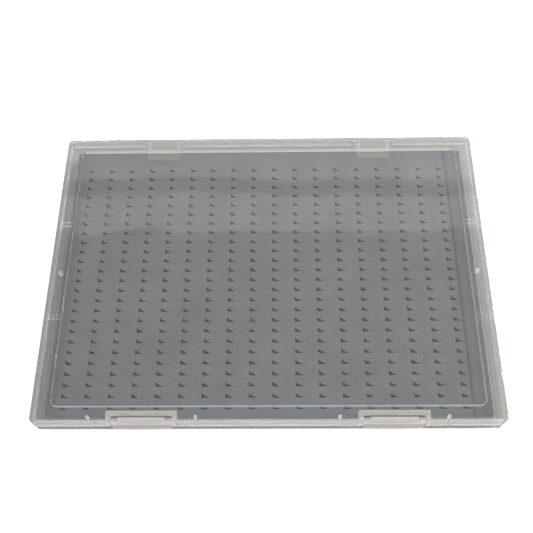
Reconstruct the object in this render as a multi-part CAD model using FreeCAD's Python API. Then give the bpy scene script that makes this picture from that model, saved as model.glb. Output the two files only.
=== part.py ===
import FreeCAD, Part
import math
import os

# Flat hinged case with a slit-foam pad. Millimetres, +X to the right, +Y towards the hinges, +Z up.
# The origin is the middle of the tray's underside. The latches are on the front, at -Y.

# Case envelope
CASE_WIDTH = 317.0
CASE_DEPTH = 230.0
CASE_HEIGHT = 18.0
CORNER_RADIUS = 4.0
PARTING_HEIGHT = 10.0
PARTING_GAP = 0.3

# Lid
LID_SKIRT = 1.8
LID_PLATE = 1.5
LID_EDGE_RADIUS = 1.2
LID_INNER_RADIUS = 0.8
PANEL_SIDE_INSET = 12.8
PANEL_FRONT_INSET = 11.5
PANEL_BACK_INSET = 11.8
PANEL_CORNER_RADIUS = 4.5
PANEL_RECESS = 1.2
PANEL_STEP_WALL = 1.0
PANEL_EDGE_RADIUS = 0.5

# Pegs and paired ribs under the lid's border
PEG_RADIUS = 1.1
SIDE_PEG_RADIUS = 1.5
PEG_LENGTH = 4.0
PEG_WALL_GAP = 0.2
PEG_SIDE_INSET = 7.2
PEG_FROM_LATCH = 36.0
PEG_SIDE_OFFSET = -2.5
RIB_WIDTH = 0.5
RIB_DROP = 0.8
RIB_PAIR_SPACING = 3.2
RIB_SIDE_SPREAD = 38.0
RIB_FRONT_SPREAD = 31.0

# Tray
TRAY_INSET = 0.6
TRAY_WALL = 2.4
TRAY_FLOOR = 1.6
TRAY_FOOT_RADIUS = 0.8
TRAY_INNER_RADIUS = 2.0
LIP_WALL = 0.9
LIP_HEIGHT = 1.8

# Foam pad
PAD_SIDE_GAP = 4.5
PAD_FRONT_GAP = 3.2
PAD_BACK_GAP = 5.2
PAD_CORNER_RADIUS = 0.8
FILM_THICKNESS = 0.2
FILM_MARGIN = 4.0
BACKING_THICKNESS = 3.0
SLIT_SHEET_THICKNESS = 5.2

# Notches in the slit sheet: a right triangle with a slit running on from its tip
NOTCH_PITCH_X = 16.0
NOTCH_PITCH_Y = 8.0
NOTCH_MARGIN = 10.0
NOTCH_SHIFT_Y = -5.7
NOTCH_BASE = 5.0
NOTCH_HEIGHT = 3.2
SLIT_LENGTH = 5.0
SLIT_WIDTH = 0.25

# Hinges
HINGE_SPREAD = 82.2
HINGE_AXIS_HEIGHT = 9.2
HINGE_WALL_GAP = 0.3
HINGE_PIN_RADIUS = 0.9
HINGE_PIN_SEAT_FIT = 0.02
HINGE_PIN_RUNNING_FIT = 0.06
KNUCKLE_WALL = 1.1
KNUCKLE_LENGTH = 20.0
LUG_LENGTH = 5.0
LUG_WALL = 1.3
LUG_SIDE_GAP = 0.3
LUG_FOOT_DROP = 4.7
SKIRT_NOTCH_GAP = 0.7
LEAF_WIDTH = 25.0
LEAF_REACH = 16.2
LEAF_THICKNESS = 1.2
LEAF_WEB = 1.5
LEAF_SHOULDER = 3.3
LEAF_STEP_GAP = 0.8
LEAF_CORNER_RADIUS = 2.0

# Latches and their pockets
LATCH_SPREAD = 84.0
POCKET_WIDTH = 41.5
POCKET_DEPTH = 5.9
POCKET_SIDE_WALL = 2.75
POCKET_BACK_WALL = 2.3
POCKET_FLOOR = 1.5
POCKET_APRON_WALL = 1.4
LATCH_SIDE_GAP = 0.55
LATCH_PROUD = 0.2
LATCH_PLATE = 1.5
LATCH_BODY_WIDTH = 31.0
LATCH_PIN_RADIUS = 0.8
LATCH_PIN_SEAT = 2.0
LATCH_PIN_SEAT_FIT = 0.02
LATCH_PIN_RUNNING_FIT = 0.06
LATCH_KNUCKLE_WALL = 0.9
LATCH_PIN_CLEARANCE = 0.3
LATCH_FLOOR_GAP = 0.6
LATCH_EDGE_RADIUS = 1.0
LATCH_END_RADIUS = 0.7
LATCH_FOOT_HEIGHT = 4.2
LATCH_APRON_GAP = 0.8
CATCH_WIDTH = 26.0
CATCH_DEPTH = 1.2
CATCH_HEIGHT = 1.2
CATCH_UNDERSIDE = 6.0
CATCH_LEG_GAP = 0.6
HOOK_WIDTH = 25.0
HOOK_ENGAGEMENT = 0.8
HOOK_HEIGHT = 1.1
HOOK_GAP = 0.3
TRAY_RECESS_SIDE_GAP = 0.75
TRAY_LEDGE_GAP = 1.0
LIP_POCKET_GAP = 0.8

# How closely an edge or face has to lie on the place it is looked for
PLACE_TOLERANCE = 1e-6

# Faces that other pieces are placed from
SIDES = {"left": -1.0, "right": 1.0}
CUT_OVERRUN = 2.0
CASE_FRONT = -CASE_DEPTH / 2
CASE_BACK = CASE_DEPTH / 2
LID_UNDERSIDE = CASE_HEIGHT - LID_PLATE
PANEL_TOP = CASE_HEIGHT - PANEL_RECESS
PANEL_UNDERSIDE = LID_UNDERSIDE - PANEL_RECESS
PANEL_WIDTH = CASE_WIDTH - 2 * PANEL_SIDE_INSET
PANEL_FRONT = CASE_FRONT + PANEL_FRONT_INSET
PANEL_BACK = CASE_BACK - PANEL_BACK_INSET
PANEL_DEPTH = PANEL_BACK - PANEL_FRONT
PANEL_CENTRE_Y = (PANEL_FRONT + PANEL_BACK) / 2
SKIRT_INNER_BACK = CASE_BACK - LID_SKIRT

TRAY_WIDTH = CASE_WIDTH - 2 * TRAY_INSET
TRAY_DEPTH = CASE_DEPTH - 2 * TRAY_INSET
TRAY_RADIUS = CORNER_RADIUS - TRAY_INSET
TRAY_TOP = PARTING_HEIGHT - PARTING_GAP
TRAY_FRONT = -TRAY_DEPTH / 2
TRAY_BACK = TRAY_DEPTH / 2
WELL_WIDTH = TRAY_WIDTH - 2 * TRAY_WALL
WELL_DEPTH = TRAY_DEPTH - 2 * TRAY_WALL
WELL_RADIUS = TRAY_RADIUS - TRAY_WALL
LIP_TOP = TRAY_TOP + LIP_HEIGHT
PEG_FRONT_Y = TRAY_FRONT + TRAY_WALL + PEG_WALL_GAP + PEG_RADIUS

PAD_WIDTH = WELL_WIDTH - 2 * PAD_SIDE_GAP
PAD_DEPTH = WELL_DEPTH - PAD_FRONT_GAP - PAD_BACK_GAP
PAD_CENTRE_Y = (PAD_FRONT_GAP - PAD_BACK_GAP) / 2
FILM_TOP = TRAY_FLOOR + FILM_THICKNESS
BACKING_TOP = FILM_TOP + BACKING_THICKNESS
PAD_TOP = BACKING_TOP + SLIT_SHEET_THICKNESS

KNUCKLE_RADIUS = HINGE_PIN_RADIUS + KNUCKLE_WALL
LUG_RADIUS = HINGE_PIN_RADIUS + LUG_WALL
HINGE_Y = TRAY_BACK + HINGE_WALL_GAP + KNUCKLE_RADIUS
LUG_INNER = KNUCKLE_LENGTH / 2 + LUG_SIDE_GAP
LUG_OUTER = LUG_INNER + LUG_LENGTH

LATCH_FRONT = CASE_FRONT - LATCH_PROUD
LATCH_LEG_BACK = LATCH_FRONT + LATCH_PLATE
LATCH_KNUCKLE_RADIUS = LATCH_PIN_RADIUS + LATCH_KNUCKLE_WALL
LATCH_Y = LATCH_LEG_BACK + LATCH_PIN_CLEARANCE + LATCH_PIN_RADIUS
LATCH_Z = CASE_HEIGHT - LATCH_KNUCKLE_RADIUS
LATCH_WIDTH = POCKET_WIDTH - 2 * LATCH_SIDE_GAP
POCKET_BACK = CASE_FRONT + POCKET_DEPTH
POCKET_FLOOR_TOP = LATCH_Z - LATCH_KNUCKLE_RADIUS - LATCH_FLOOR_GAP
POCKET_UNDERSIDE = POCKET_FLOOR_TOP - POCKET_FLOOR
APRON_FRONT = LATCH_LEG_BACK + LATCH_APRON_GAP
CATCH_FRONT = LATCH_LEG_BACK + CATCH_LEG_GAP
TRAY_RECESS_FACE = CATCH_FRONT + CATCH_DEPTH
HOOK_BACK = CATCH_FRONT + HOOK_ENGAGEMENT
HOOK_TOP = CATCH_UNDERSIDE - HOOK_GAP
TRAY_LEDGE_TOP = LATCH_FOOT_HEIGHT - TRAY_LEDGE_GAP


def block(x_low, x_high, y_low, y_high, z_low, z_high):
    """Box between two opposite corners."""
    corner = FreeCAD.Vector(x_low, y_low, z_low)
    return Part.makeBox(x_high - x_low, y_high - y_low, z_high - z_low, corner)


def centred_block(centre_x, width, y_low, y_high, z_low, z_high):
    """Box centred on one X position."""
    return block(centre_x - width / 2, centre_x + width / 2, y_low, y_high, z_low, z_high)


def rod(centre_x, length, y, z, radius):
    """Cylinder along X, centred on one X position."""
    start = FreeCAD.Vector(centre_x - length / 2, y, z)
    return Part.makeCylinder(radius, length, start, FreeCAD.Vector(1, 0, 0))


def rounded_prism(width, depth, radius, z_low, z_high, centre_y=0.0):
    """Upright prism with a rounded rectangular outline."""
    outline = block(-width / 2, width / 2, centre_y - depth / 2, centre_y + depth / 2, z_low, z_high)
    uprights = [edge for edge in outline.Edges if edge.BoundBox.ZLength > (z_high - z_low) / 2]
    return outline.makeFillet(radius, uprights)


def level_edges(shape, z):
    """Edges that lie flat at one height."""
    flat = []
    for edge in shape.Edges:
        box = edge.BoundBox
        if abs(box.ZMin - z) < PLACE_TOLERANCE and abs(box.ZMax - z) < PLACE_TOLERANCE:
            flat.append(edge)
    return flat


def polygon_face(points):
    """Flat face through a list of points."""
    return Part.Face(Part.makePolygon(points + [points[0]]))


def panel_recess():
    """Space above the recessed panel, with a rounded foot."""
    top = CASE_HEIGHT + CUT_OVERRUN
    recess = rounded_prism(PANEL_WIDTH, PANEL_DEPTH, PANEL_CORNER_RADIUS, PANEL_TOP, top, PANEL_CENTRE_Y)
    return recess.makeFillet(PANEL_EDGE_RADIUS, level_edges(recess, PANEL_TOP))


def lid_shell():
    """Lid plate and skirt, with the recessed panel and its rounded mouth."""
    outer = rounded_prism(CASE_WIDTH, CASE_DEPTH, CORNER_RADIUS, PARTING_HEIGHT, CASE_HEIGHT)
    outer = outer.makeFillet(LID_EDGE_RADIUS, level_edges(outer, CASE_HEIGHT))
    inner = rounded_prism(
        CASE_WIDTH - 2 * LID_SKIRT,
        CASE_DEPTH - 2 * LID_SKIRT,
        CORNER_RADIUS - LID_SKIRT,
        PARTING_HEIGHT - CUT_OVERRUN,
        LID_UNDERSIDE,
    )
    inner = inner.makeFillet(LID_INNER_RADIUS, level_edges(inner, LID_UNDERSIDE))
    panel = rounded_prism(
        PANEL_WIDTH + 2 * PANEL_STEP_WALL,
        PANEL_DEPTH + 2 * PANEL_STEP_WALL,
        PANEL_CORNER_RADIUS + PANEL_STEP_WALL,
        PANEL_UNDERSIDE,
        PANEL_TOP,
        PANEL_CENTRE_Y,
    )
    panel = panel.makeFillet(PANEL_EDGE_RADIUS, level_edges(panel, PANEL_UNDERSIDE))
    shell = outer.cut(inner).fuse(panel).cut(panel_recess())
    mouth = []
    for edge in level_edges(shell, CASE_HEIGHT):
        centre = edge.CenterOfMass
        if abs(centre.x) <= PANEL_WIDTH / 2 and abs(centre.y - PANEL_CENTRE_Y) <= PANEL_DEPTH / 2:
            mouth.append(edge)
    return shell.makeFillet(PANEL_EDGE_RADIUS, mouth)


def latch_pocket(centre_x):
    """Walls and floor of one latch pocket, as they stand in the lid."""
    width = POCKET_WIDTH + 2 * POCKET_SIDE_WALL
    front = CASE_FRONT + LID_EDGE_RADIUS
    back = POCKET_BACK + POCKET_BACK_WALL
    walls = centred_block(centre_x, width, front, back, POCKET_UNDERSIDE, CASE_HEIGHT)
    apron_back = APRON_FRONT + POCKET_APRON_WALL
    apron = centred_block(centre_x, width, front, apron_back, PARTING_HEIGHT, POCKET_UNDERSIDE)
    return walls.fuse(apron)


def latch_pocket_cut(centre_x):
    """Space that the latch fills, and the holes for its pin."""
    front = CASE_FRONT - CUT_OVERRUN
    top = CASE_HEIGHT + CUT_OVERRUN
    bottom = PARTING_HEIGHT - CUT_OVERRUN
    above = centred_block(centre_x, POCKET_WIDTH, front, POCKET_BACK, POCKET_FLOOR_TOP, top)
    below = centred_block(centre_x, POCKET_WIDTH, front, APRON_FRONT, bottom, POCKET_FLOOR_TOP)
    seat_length = POCKET_WIDTH + 2 * LATCH_PIN_SEAT
    seat = rod(centre_x, seat_length, LATCH_Y, LATCH_Z, LATCH_PIN_RADIUS + LATCH_PIN_SEAT_FIT)
    return above.fuse(below).fuse(seat)


def skirt_notch(centre_x):
    """Gap in the lid's back skirt for one hinge."""
    width = 2 * (LUG_OUTER + SKIRT_NOTCH_GAP)
    inner = SKIRT_INNER_BACK - LID_INNER_RADIUS
    outer = CASE_BACK + CUT_OVERRUN
    bottom = PARTING_HEIGHT - CUT_OVERRUN
    return centred_block(centre_x, width, inner, outer, bottom, LID_UNDERSIDE)


def border_pegs():
    """Six pegs under the lid's border."""
    pegs = []
    bottom = LID_UNDERSIDE - PEG_LENGTH
    for side in SIDES.values():
        place = FreeCAD.Vector(side * (CASE_WIDTH / 2 - PEG_SIDE_INSET), PEG_SIDE_OFFSET, bottom)
        pegs.append(Part.makeCylinder(SIDE_PEG_RADIUS, PEG_LENGTH, place))
        for step in (-1, 1):
            place = FreeCAD.Vector(side * (LATCH_SPREAD + step * PEG_FROM_LATCH), PEG_FRONT_Y, bottom)
            pegs.append(Part.makeCylinder(PEG_RADIUS, PEG_LENGTH, place))
    return pegs


def border_ribs():
    """Paired ribs under the lid's border, at the sides and the front."""
    ribs = []
    bottom = LID_UNDERSIDE - RIB_DROP
    side_inner = PANEL_WIDTH / 2
    side_outer = CASE_WIDTH / 2 - LID_SKIRT
    front_inner = PANEL_FRONT
    front_outer = CASE_FRONT + LID_SKIRT
    for side in SIDES.values():
        for step in (-0.5, 0.5):
            x_low, x_high = sorted((side * side_inner, side * side_outer))
            for end in (-1, 1):
                y_low = end * RIB_SIDE_SPREAD + step * RIB_PAIR_SPACING - RIB_WIDTH / 2
                ribs.append(block(x_low, x_high, y_low, y_low + RIB_WIDTH, bottom, LID_UNDERSIDE))
            x = side * RIB_FRONT_SPREAD + step * RIB_PAIR_SPACING
            ribs.append(centred_block(x, RIB_WIDTH, front_outer, front_inner, bottom, LID_UNDERSIDE))
    return ribs


def lid():
    """Clear lid with its latch pockets, hinge notches, pegs and ribs."""
    shape = lid_shell()
    pockets = [latch_pocket(side * LATCH_SPREAD) for side in SIDES.values()]
    shape = shape.fuse(pockets + border_pegs() + border_ribs())
    cuts = [latch_pocket_cut(side * LATCH_SPREAD) for side in SIDES.values()]
    cuts += [skirt_notch(side * HINGE_SPREAD) for side in SIDES.values()]
    return shape.cut(cuts).removeSplitter()


def tray_shell():
    """Tray floor and walls, with the lip that stands inside the lid's skirt."""
    outer = rounded_prism(TRAY_WIDTH, TRAY_DEPTH, TRAY_RADIUS, 0.0, TRAY_TOP)
    outer = outer.makeFillet(TRAY_FOOT_RADIUS, level_edges(outer, 0.0))
    lip_width = WELL_WIDTH + 2 * LIP_WALL
    lip_depth = WELL_DEPTH + 2 * LIP_WALL
    lip = rounded_prism(lip_width, lip_depth, WELL_RADIUS + LIP_WALL, TRAY_FLOOR, LIP_TOP)
    well = rounded_prism(WELL_WIDTH, WELL_DEPTH, WELL_RADIUS, TRAY_FLOOR, LIP_TOP + CUT_OVERRUN)
    well = well.makeFillet(TRAY_INNER_RADIUS, level_edges(well, TRAY_FLOOR))
    return outer.fuse(lip).cut(well)


def latch_recess_wall(centre_x):
    """Tray wall where it steps in behind one latch."""
    width = POCKET_WIDTH + 2 * (TRAY_RECESS_SIDE_GAP + TRAY_WALL)
    front = TRAY_FRONT + TRAY_FOOT_RADIUS
    return centred_block(centre_x, width, front, TRAY_RECESS_FACE + TRAY_WALL, TRAY_FLOOR / 2, TRAY_TOP)


def latch_recess_cut(centre_x):
    """Space in front of the stepped wall, down to the tray's ledge, and the gap in the lip above it."""
    top = LIP_TOP + CUT_OVERRUN
    width = POCKET_WIDTH + 2 * TRAY_RECESS_SIDE_GAP
    front = TRAY_FRONT - CUT_OVERRUN
    recess = centred_block(centre_x, width, front, TRAY_RECESS_FACE, TRAY_LEDGE_TOP, top)
    lip_gap_width = POCKET_WIDTH + 2 * (POCKET_SIDE_WALL + LIP_POCKET_GAP)
    lip_gap = centred_block(centre_x, lip_gap_width, TRAY_FRONT, TRAY_FRONT + TRAY_WALL, TRAY_TOP, top)
    return recess.fuse(lip_gap)


def latch_catch(centre_x):
    """Rib on the stepped wall that a latch hooks under."""
    top = CATCH_UNDERSIDE + CATCH_HEIGHT
    return centred_block(centre_x, CATCH_WIDTH, CATCH_FRONT, TRAY_RECESS_FACE, CATCH_UNDERSIDE, top)


def hinge_lug(centre_x):
    """One lug on the tray's back wall, with its round end on the hinge axis."""
    low = HINGE_AXIS_HEIGHT - LUG_FOOT_DROP
    left = centre_x - LUG_LENGTH / 2
    sine = LUG_RADIUS / math.hypot(HINGE_Y - TRAY_BACK, LUG_FOOT_DROP)
    lean = math.asin(sine) + math.atan2(HINGE_Y - TRAY_BACK, LUG_FOOT_DROP)
    touch = FreeCAD.Vector(
        left, HINGE_Y + LUG_RADIUS * math.cos(lean), HINGE_AXIS_HEIGHT - LUG_RADIUS * math.sin(lean)
    )
    inside = TRAY_BACK - TRAY_WALL / 2
    gusset = polygon_face([
        FreeCAD.Vector(left, inside, low),
        FreeCAD.Vector(left, TRAY_BACK, low),
        touch,
        FreeCAD.Vector(left, HINGE_Y, HINGE_AXIS_HEIGHT),
        FreeCAD.Vector(left, HINGE_Y, TRAY_TOP),
        FreeCAD.Vector(left, inside, TRAY_TOP),
    ]).extrude(FreeCAD.Vector(LUG_LENGTH, 0, 0))
    return gusset.fuse(rod(centre_x, LUG_LENGTH, HINGE_Y, HINGE_AXIS_HEIGHT, LUG_RADIUS))


def base_tray():
    """Clear tray with its latch recesses, catches and hinge lugs."""
    shape = tray_shell()
    shape = shape.fuse([latch_recess_wall(side * LATCH_SPREAD) for side in SIDES.values()])
    shape = shape.cut([latch_recess_cut(side * LATCH_SPREAD) for side in SIDES.values()])
    added = [latch_catch(side * LATCH_SPREAD) for side in SIDES.values()]
    bores = []
    lug_offset = LUG_INNER + LUG_LENGTH / 2
    for side in SIDES.values():
        for step in (-1, 1):
            added.append(hinge_lug(side * HINGE_SPREAD + step * lug_offset))
        bore_radius = HINGE_PIN_RADIUS + HINGE_PIN_SEAT_FIT
        bores.append(rod(side * HINGE_SPREAD, 2 * LUG_OUTER, HINGE_Y, HINGE_AXIS_HEIGHT, bore_radius))
    return shape.fuse(added).cut(bores).removeSplitter()


def hinge_leaf(centre_x):
    """Leaf bonded under the lid, with the knuckle that turns on the pin."""
    front = SKIRT_INNER_BACK - LEAF_REACH
    web_front = TRAY_BACK + HINGE_WALL_GAP
    web_back = web_front + LEAF_WEB
    plate_low = PANEL_UNDERSIDE - LEAF_THICKNESS
    plate = centred_block(centre_x, LEAF_WIDTH, front, SKIRT_INNER_BACK, plate_low, PANEL_UNDERSIDE)
    corners = []
    for edge in plate.Edges:
        upright = edge.BoundBox.ZLength > LEAF_THICKNESS / 2
        if upright and abs(edge.CenterOfMass.y - front) < PLACE_TOLERANCE:
            corners.append(edge)
    plate = plate.makeFillet(LEAF_CORNER_RADIUS, corners)
    step_front = PANEL_BACK + PANEL_STEP_WALL + LEAF_STEP_GAP
    seat = centred_block(centre_x, KNUCKLE_LENGTH, step_front, CASE_BACK, plate_low, LID_UNDERSIDE)
    left = centre_x - KNUCKLE_LENGTH / 2
    web = polygon_face([
        FreeCAD.Vector(left, web_front, HINGE_AXIS_HEIGHT),
        FreeCAD.Vector(left, web_back, HINGE_AXIS_HEIGHT),
        FreeCAD.Vector(left, web_back, HINGE_AXIS_HEIGHT + LEAF_SHOULDER),
        FreeCAD.Vector(left, CASE_BACK, LID_UNDERSIDE),
        FreeCAD.Vector(left, web_front, LID_UNDERSIDE),
    ]).extrude(FreeCAD.Vector(KNUCKLE_LENGTH, 0, 0))
    knuckle = rod(centre_x, KNUCKLE_LENGTH, HINGE_Y, HINGE_AXIS_HEIGHT, KNUCKLE_RADIUS)
    bore_radius = HINGE_PIN_RADIUS + HINGE_PIN_RUNNING_FIT
    bore = rod(centre_x, KNUCKLE_LENGTH, HINGE_Y, HINGE_AXIS_HEIGHT, bore_radius)
    return plate.fuse([seat, web, knuckle]).cut(bore).removeSplitter()


def hinge_pin(centre_x):
    """Pin through both lugs and the knuckle between them."""
    return rod(centre_x, 2 * LUG_OUTER, HINGE_Y, HINGE_AXIS_HEIGHT, HINGE_PIN_RADIUS)


def latch_profile(left, width):
    """Top plate and front leg of a latch, with a rounded front edge."""
    rounding = LATCH_EDGE_RADIUS
    diagonal = rounding * (1 - math.sqrt(0.5))
    top_start = FreeCAD.Vector(left, LATCH_LEG_BACK, CASE_HEIGHT)
    top_end = FreeCAD.Vector(left, LATCH_FRONT + rounding, CASE_HEIGHT)
    bend = FreeCAD.Vector(left, LATCH_FRONT + diagonal, CASE_HEIGHT - diagonal)
    leg_start = FreeCAD.Vector(left, LATCH_FRONT, CASE_HEIGHT - rounding)
    leg_end = FreeCAD.Vector(left, LATCH_FRONT, LATCH_FOOT_HEIGHT)
    foot = FreeCAD.Vector(left, LATCH_LEG_BACK, LATCH_FOOT_HEIGHT)
    edges = [
        Part.makeLine(top_start, top_end),
        Part.Arc(top_end, bend, leg_start).toShape(),
        Part.makeLine(leg_start, leg_end),
        Part.makeLine(leg_end, foot),
        Part.makeLine(foot, top_start),
    ]
    return Part.Face(Part.Wire(edges)).extrude(FreeCAD.Vector(width, 0, 0))


def latch_leg(centre_x):
    """Latch profile at its full width, with its two ends rounded over at the top and front."""
    leg = latch_profile(centre_x - LATCH_WIDTH / 2, LATCH_WIDTH)
    rounded = []
    for edge in leg.Edges:
        box = edge.BoundBox
        at_end = box.XLength < PLACE_TOLERANCE
        behind = box.YMin > LATCH_LEG_BACK - PLACE_TOLERANCE
        at_foot = box.ZMax < LATCH_FOOT_HEIGHT + PLACE_TOLERANCE
        if at_end and not behind and not at_foot:
            rounded.append(edge)
    return leg.makeFillet(LATCH_END_RADIUS, rounded)


def latch(centre_x):
    """Flip-up latch: leg, knuckle on the pin and a hook under the tray's catch."""
    leg = latch_leg(centre_x)
    top = centred_block(centre_x, LATCH_BODY_WIDTH, LATCH_LEG_BACK, LATCH_Y, LATCH_Z, CASE_HEIGHT)
    knuckle = rod(centre_x, LATCH_BODY_WIDTH, LATCH_Y, LATCH_Z, LATCH_KNUCKLE_RADIUS)
    hook = centred_block(centre_x, HOOK_WIDTH, LATCH_LEG_BACK, HOOK_BACK, HOOK_TOP - HOOK_HEIGHT, HOOK_TOP)
    bore = rod(centre_x, LATCH_WIDTH, LATCH_Y, LATCH_Z, LATCH_PIN_RADIUS + LATCH_PIN_RUNNING_FIT)
    return leg.fuse([top, knuckle, hook]).cut(bore).removeSplitter()


def latch_pin(centre_x):
    """Pin held in the pocket's side walls."""
    return rod(centre_x, POCKET_WIDTH + 2 * LATCH_PIN_SEAT, LATCH_Y, LATCH_Z, LATCH_PIN_RADIUS)


def notch_wire(x, y, z):
    """Outline of one notch with its slit, about the triangle's centre, clockwise as a hole runs."""
    left = x - NOTCH_BASE / 3
    low = y - NOTCH_HEIGHT / 3
    end = left + NOTCH_BASE + SLIT_LENGTH
    meet = left + NOTCH_BASE * (1 - SLIT_WIDTH / NOTCH_HEIGHT)
    points = [
        FreeCAD.Vector(left, low, z),
        FreeCAD.Vector(left, low + NOTCH_HEIGHT, z),
        FreeCAD.Vector(meet, low + SLIT_WIDTH, z),
        FreeCAD.Vector(end, low + SLIT_WIDTH, z),
        FreeCAD.Vector(end, low, z),
    ]
    return Part.makePolygon(points + [points[0]])


def foam_slit_sheet():
    """Upper foam sheet, cut through with rows of notches."""
    columns = int((PAD_WIDTH - 2 * NOTCH_MARGIN) / NOTCH_PITCH_X) + 1
    rows = int((PAD_DEPTH - 2 * NOTCH_MARGIN) / NOTCH_PITCH_Y) + 1
    plain = rounded_prism(PAD_WIDTH, PAD_DEPTH, PAD_CORNER_RADIUS, BACKING_TOP, PAD_TOP, PAD_CENTRE_Y)
    upper = [face for face in plain.Faces if abs(face.BoundBox.ZMin - PAD_TOP) < PLACE_TOLERANCE][0]
    wires = [upper.OuterWire]
    centre_x = (NOTCH_BASE / 3 - SLIT_LENGTH - NOTCH_BASE * 2 / 3) / 2
    for column in range(columns):
        x = centre_x + (column - (columns - 1) / 2) * NOTCH_PITCH_X
        for row in range(rows):
            y = PAD_CENTRE_Y + NOTCH_SHIFT_Y + (row - (rows - 1) / 2) * NOTCH_PITCH_Y
            wires.append(notch_wire(x, y, PAD_TOP))
    return Part.Face(wires).extrude(FreeCAD.Vector(0, 0, -SLIT_SHEET_THICKNESS))


def foam_backing_sheet():
    """Plain lower foam sheet."""
    return rounded_prism(PAD_WIDTH, PAD_DEPTH, PAD_CORNER_RADIUS, FILM_TOP, BACKING_TOP, PAD_CENTRE_Y)


def pad_adhesive_film():
    """Film that bonds the pad to the tray's floor."""
    return rounded_prism(
        PAD_WIDTH - 2 * FILM_MARGIN,
        PAD_DEPTH - 2 * FILM_MARGIN,
        PAD_CORNER_RADIUS,
        TRAY_FLOOR,
        FILM_TOP,
        PAD_CENTRE_Y,
    )


def build():
    """All pieces by node name."""
    pieces = {
        "base_tray": base_tray(),
        "lid": lid(),
        "foam_slit_sheet": foam_slit_sheet(),
        "foam_backing_sheet": foam_backing_sheet(),
        "pad_adhesive_film": pad_adhesive_film(),
    }
    for name, side in SIDES.items():
        pieces[name + "_hinge_leaf"] = hinge_leaf(side * HINGE_SPREAD)
        pieces[name + "_hinge_pin"] = hinge_pin(side * HINGE_SPREAD)
        pieces[name + "_latch"] = latch(side * LATCH_SPREAD)
        pieces[name + "_latch_pin"] = latch_pin(side * LATCH_SPREAD)
    return pieces


os.makedirs("parts", exist_ok=True)
for node, shape in build().items():
    print(node, "solids", len(shape.Solids), "volume_mm3", round(shape.Volume, 1))
    shape.exportStep(os.path.join("parts", node + ".step"))
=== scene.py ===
import math

import bmesh
import bpy
from mathutils import Matrix, Vector


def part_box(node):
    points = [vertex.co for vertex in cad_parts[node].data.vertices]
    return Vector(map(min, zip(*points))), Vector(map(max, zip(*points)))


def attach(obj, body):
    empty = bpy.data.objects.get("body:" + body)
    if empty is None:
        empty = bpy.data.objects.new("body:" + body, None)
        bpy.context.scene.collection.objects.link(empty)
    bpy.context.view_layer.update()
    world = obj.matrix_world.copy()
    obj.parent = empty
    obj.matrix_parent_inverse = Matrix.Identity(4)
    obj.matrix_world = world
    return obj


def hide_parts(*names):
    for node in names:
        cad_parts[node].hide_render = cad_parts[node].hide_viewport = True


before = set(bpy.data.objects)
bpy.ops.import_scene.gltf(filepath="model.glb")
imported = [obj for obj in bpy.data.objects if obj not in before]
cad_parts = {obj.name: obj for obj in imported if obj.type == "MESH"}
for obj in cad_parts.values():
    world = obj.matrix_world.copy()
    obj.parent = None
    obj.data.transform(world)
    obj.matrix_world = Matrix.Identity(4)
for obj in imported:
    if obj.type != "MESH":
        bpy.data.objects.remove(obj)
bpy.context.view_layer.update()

# Slim clear hinged case with a slit-foam pad, in metres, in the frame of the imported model.
MM = 0.001

# Places read from the frame
LID_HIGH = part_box("lid")[1]
PAD_LOW, PAD_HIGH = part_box("foam_slit_sheet")
BACKING_LOW, BACKING_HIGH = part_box("foam_backing_sheet")
LATCH_LOW, LATCH_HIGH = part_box("right_latch")
CASE_HALF_WIDTH = LID_HIGH.x
CASE_HALF_DEPTH = LID_HIGH.y
LATCH_CENTRE_X = (LATCH_LOW.x + LATCH_HIGH.x) / 2

# Recessed panel of the lid, measured in from the case's edges
PANEL_SIDE_INSET = 12.8 * MM
PANEL_FRONT_INSET = 11.5 * MM
PANEL_BACK_INSET = 11.8 * MM
PANEL_HALF_WIDTH = CASE_HALF_WIDTH - PANEL_SIDE_INSET
PANEL_HALF_DEPTH = CASE_HALF_DEPTH - (PANEL_FRONT_INSET + PANEL_BACK_INSET) / 2
PANEL_CENTRE_Y = (PANEL_FRONT_INSET - PANEL_BACK_INSET) / 2
PANEL_BACK_Y = PANEL_CENTRE_Y + PANEL_HALF_DEPTH
PANEL_CORNER_RADIUS = 4.5 * MM

# Zones about the panel's step, as distances outwards from the panel's edge
# The first two bound the painted highlight along the step.
STEP_HIGHLIGHT_CORE = 0.3 * MM
STEP_HIGHLIGHT_EDGE = 0.7 * MM
STEP_SHADE_INNER = -1.75 * MM
STEP_SHADE_OUTER = 1.45 * MM
MILK_FADE_INNER = -0.4 * MM
MILK_FADE_OUTER = 0.8 * MM
PASS_FADE_INNER = -0.6 * MM
PASS_FADE_OUTER = 1.2 * MM
CALM_FADE_INNER = -6.0 * MM
CALM_FADE_OUTER = -2.0 * MM
SIDE_FADE_INNER = -3.0 * MM
SIDE_FADE_OUTER = -1.0 * MM
BACK_FADE_INNER = -1.5 * MM
BACK_FADE_OUTER = -0.7 * MM

# Half width of the band in the middle of the lid, where the left half's share of the step's painted
# highlight gives way to the right's
MIDDLE_BAND = 1.0 * MM

# Latch pockets and pegs of the lid, the zones of the walls, and the heights of the small mouldings
POCKET_HALF_WIDTH = 23.5 * MM
POCKET_BAR_BACK = 8.2 * MM - CASE_HALF_DEPTH
LATCH_SPACE_HALF_WIDTH = 20.75 * MM
LATCH_SPACE_BACK = 5.9 * MM - CASE_HALF_DEPTH
CASE_CORNER_RADIUS = 4.0 * MM
FRONT_WALL_INNER = 3.5 * MM - CASE_HALF_DEPTH
FRONT_WALL_OUTER = 2.5 * MM - CASE_HALF_DEPTH
SKIRT_ZONE = 2.0 * MM
SKIRT_FADE = 1.2 * MM
TRAY_WALL_ZONE = 4.0 * MM
TRAY_FOOT_ZONE = 1.6 * MM
TRAY_FOOT_HEIGHT = 3.5 * MM
TRAY_FADE = 0.3 * MM
PEG_RADIUS = 1.1 * MM
SIDE_PEG_RADIUS = 1.5 * MM
PEG_FROM_LATCH = 36.0 * MM
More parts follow.
